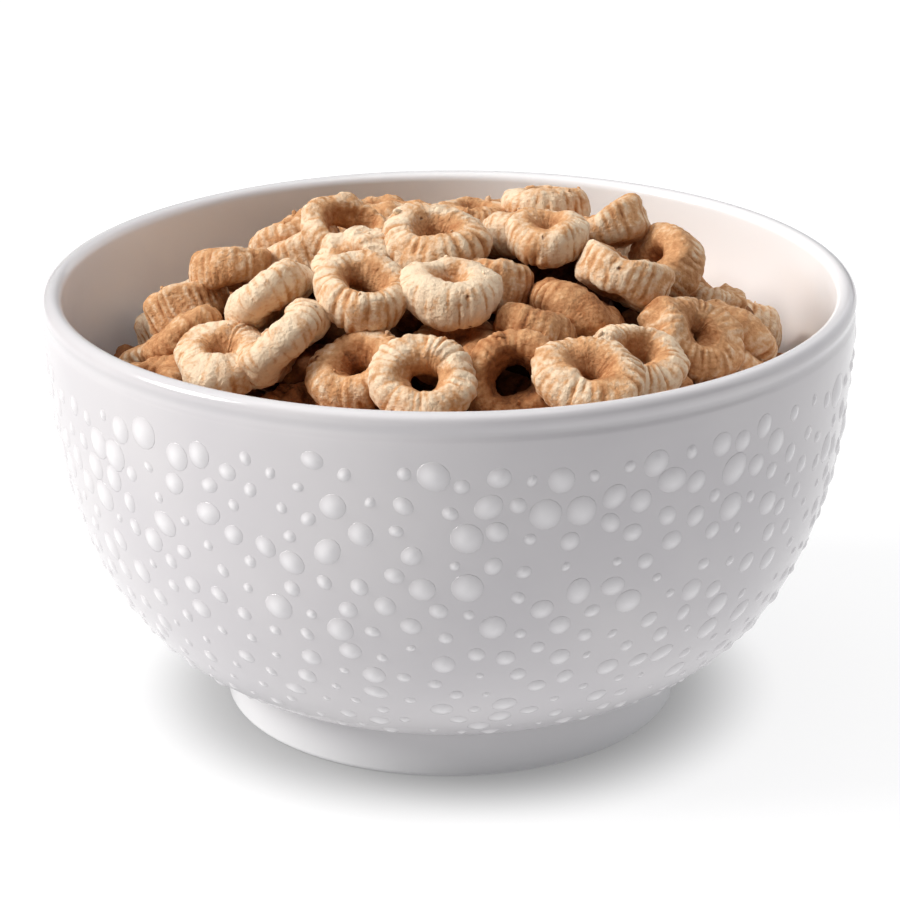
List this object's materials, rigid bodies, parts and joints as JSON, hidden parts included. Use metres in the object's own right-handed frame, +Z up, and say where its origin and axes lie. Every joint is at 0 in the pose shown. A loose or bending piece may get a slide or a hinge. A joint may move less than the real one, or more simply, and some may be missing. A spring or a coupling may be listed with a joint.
{
  "type": "bowl of cereal",
  "caption": "Small footed porcelain bowl with raised dots, heaped with toasted oat ring cereal.",
  "frame": {"origin": "on the bowl's axis, at the level that the foot ring stands on", "axes": "+Z up along the bowl's axis; -Y faces the viewer"},
  "size_m": [0.115, 0.115, 0.0743],
  "materials": {
    "glazed_porcelain": "gloss",
    "toasted_oat": "matte"
  },
  "bodies": {
    "root": {"bowl": "glazed_porcelain", "cereal_heap": "toasted_oat"}
  },
  "joints": []
}
